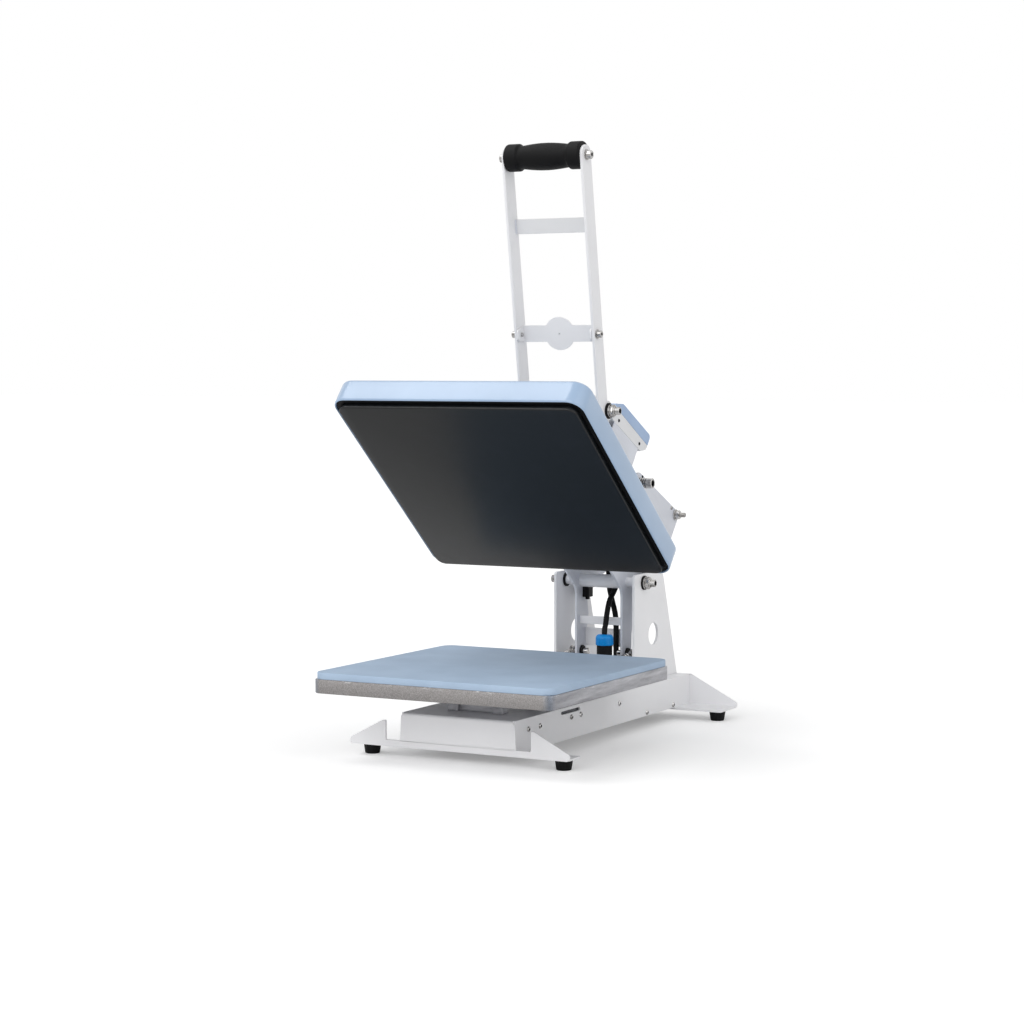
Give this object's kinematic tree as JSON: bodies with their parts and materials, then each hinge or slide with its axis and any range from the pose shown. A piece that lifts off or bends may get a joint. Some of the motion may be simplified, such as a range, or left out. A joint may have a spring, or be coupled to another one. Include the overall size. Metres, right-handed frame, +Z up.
{
  "type": "flat heat press",
  "caption": "Open clamshell heat press with a padded lower platen, tilted heated head on twin arms, toggle handle, sprung legs and control box.",
  "frame": {"origin": "on the floor under the middle of the open machine's box", "axes": "+X to the operator's right, +Y to the back, +Z up"},
  "size_m": [0.4, 0.7316, 0.8857],
  "materials": {
    "white_paint": "satin powder coat",
    "cast_aluminium": "grainy casting",
    "silicone": "matte sponge",
    "cover_blue": "satin",
    "heat_black": "smooth dark coating",
    "steel": "bright zinc",
    "dark_steel": "blackened",
    "black_plastic": "matte",
    "black_rubber": "matte",
    "blue_plastic": "glossy",
    "red_plastic": "glossy",
    "pale_plastic": "satin",
    "grey_metal": "satin",
    "dark_glass": "glossy",
    "insulation": "fibrous",
    "iron": "ground"
  },
  "bodies": {
    "base": {"rubber_feet": "black_rubber", "front_bracket": "white_paint", "rear_bracket": "white_paint", "base_rail_left": "white_paint", "base_rail_right": "white_paint", "base_top": "white_paint", "base_screws": "dark_steel", "upright_left": "white_paint", "upright_right": "white_paint", "upright_bolts": "steel", "pivot_bushes": "black_plastic", "link_studs": "steel", "platen_mount": "cast_aluminium", "lower_platen": "cast_aluminium", "silicone_pad": "silicone", "spring_anchor": "steel", "return_spring_left": "steel", "return_spring_right": "steel", "power_inlet": "black_plastic", "switch_frame": "black_plastic", "relay_module": "black_plastic", "cable_socket": "black_plastic", "cable_nut": "blue_plastic", "heater_cable": "black_rubber", "control_cable": "black_rubber"},
    "rocker": {"power_rocker": "red_plastic"},
    "arm": {"arm_left": "white_paint", "arm_right": "white_paint", "pivot_shaft": "steel", "spacer_tubes": "white_paint", "shaft_nuts": "steel", "leg_strips": "white_paint", "spring_pins": "steel", "spring_bushes": "black_plastic", "arm_bolts": "steel", "handle_axle": "steel", "cable_glands": "black_plastic", "closing_switch": "black_plastic", "head_saddle": "white_paint", "arm_bridges": "white_paint", "head_cover": "cover_blue", "insulation_board": "insulation", "heating_plate": "heat_black", "electromagnet": "iron", "control_tray": "grey_metal", "control_cover": "cover_blue", "control_display": "dark_glass"},
    "knob": {"pressure_knob": "black_plastic"},
    "up": {"button_up": "pale_plastic"},
    "down": {"button_down": "pale_plastic"},
    "set": {"button_set": "red_plastic"},
    "handle": {"handle_bar_left": "white_paint", "handle_bar_right": "white_paint", "handle_crossbar": "white_paint", "handle_bushes": "black_plastic", "handle_grip": "black_rubber", "handle_fittings": "steel"},
    "armature": {"armature_bar": "white_paint"},
    "links": {"toggle_link_left": "steel", "toggle_link_right": "steel"}
  },
  "joints": [
    {"name": "head_hinge", "type": "hinge", "parent": "base", "child": "arm", "pos_m": [0, 0.17616, 0.2207], "axis": [1, 0, 0], "range_deg": [0, 40], "stiffness_Nm_per_rad": 25, "springref_deg": -137.51, "deforming": ["return_spring_left", "return_spring_right", "heater_cable", "control_cable"]},
    {"name": "handle_hinge", "type": "hinge", "parent": "arm", "child": "handle", "pos_m": [0, 0.05543, 0.48909], "axis": [1, 0, 0], "range_deg": [0, 64]},
    {"name": "link_swing", "type": "hinge", "parent": "base", "child": "links", "pos_m": [0, 0.22116, 0.2007], "axis": [1, 0, 0], "range_deg": [0, 27.5]},
    {"name": "armature_swivel", "type": "hinge", "parent": "handle", "child": "armature", "pos_m": [0, 0.01726, 0.60357], "axis": [1, 0, 0], "range_deg": [-3, 3]},
    {"name": "power_rocker", "type": "hinge", "parent": "base", "child": "rocker", "pos_m": [0.045, 0.30216, 0.0425], "axis": [1, 0, 0], "range_deg": [0, 18]},
    {"name": "pressure_screw", "type": "hinge", "parent": "arm", "child": "knob", "pos_m": [0, -0.13792, 0.48424], "axis": [0, 0.6428, 0.766], "continuous": true},
    {"name": "press_up", "type": "slide", "parent": "arm", "child": "up", "axis": [0, -0.4674, -0.884], "range_m": [0, 0.001], "stiffness_N_per_m": 400},
    {"name": "press_down", "type": "slide", "parent": "arm", "child": "down", "axis": [0, -0.4674, -0.884], "range_m": [0, 0.001], "stiffness_N_per_m": 400},
    {"name": "press_set", "type": "slide", "parent": "arm", "child": "set", "axis": [0, -0.4674, -0.884], "range_m": [0, 0.001], "stiffness_N_per_m": 400}
  ],
  "couplings": [
    {"joint": "handle_hinge", "follows": "head_hinge", "ratio": 1.6},
    {"joint": "link_swing", "follows": "head_hinge", "ratio": 0.68}
  ]
}
